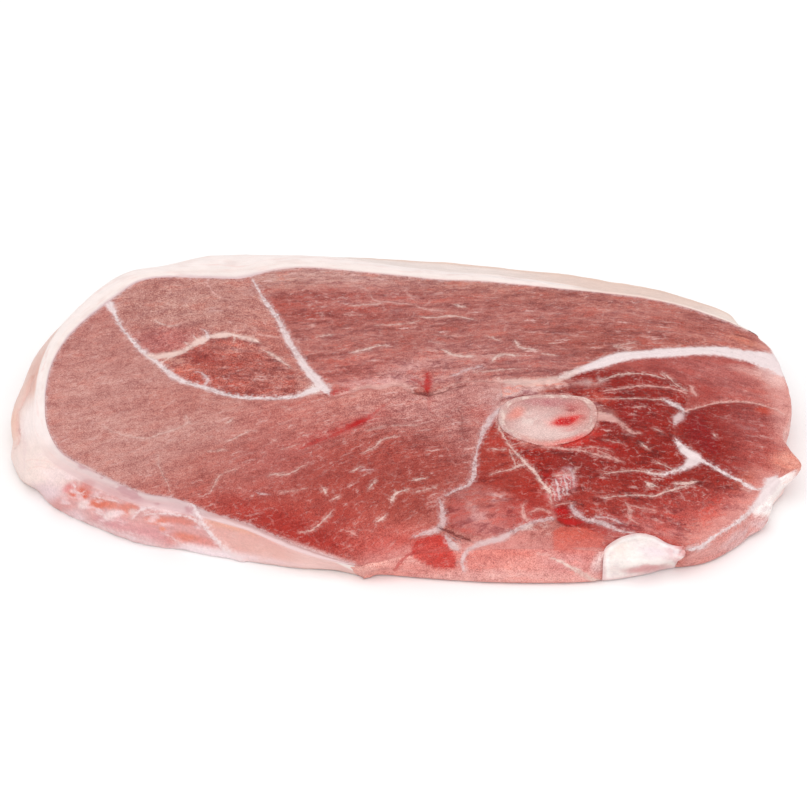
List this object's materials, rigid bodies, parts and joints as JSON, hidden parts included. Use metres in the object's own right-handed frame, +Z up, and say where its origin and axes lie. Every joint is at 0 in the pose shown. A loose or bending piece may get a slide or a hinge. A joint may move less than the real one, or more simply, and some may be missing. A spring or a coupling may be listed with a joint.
{
  "type": "raw pork leg steak",
  "caption": "Thick raw bone-in slice of pork leg lying flat: several lean muscles round a sawn femur, with skin-side fat along one end and the far side.",
  "frame": {"origin": "middle of the slice's footprint, on the surface it lies on", "axes": "+X along the long way of the slice, towards the end with the bone; +Y towards the skin side; +Z up through its thickness"},
  "size_m": [0.2308, 0.1494, 0.0151],
  "materials": {
    "lean": "moist raw meat with fibres and thin white seams",
    "fat": "smooth pale fat with a cream skin",
    "bone": "sawn, slightly translucent",
    "marrow": "moist, fine spongy grain"
  },
  "bodies": {
    "root": {"lean": "lean", "fat_cap": "fat", "fat_pad": "fat", "bone": "bone", "marrow": "marrow"}
  },
  "joints": []
}
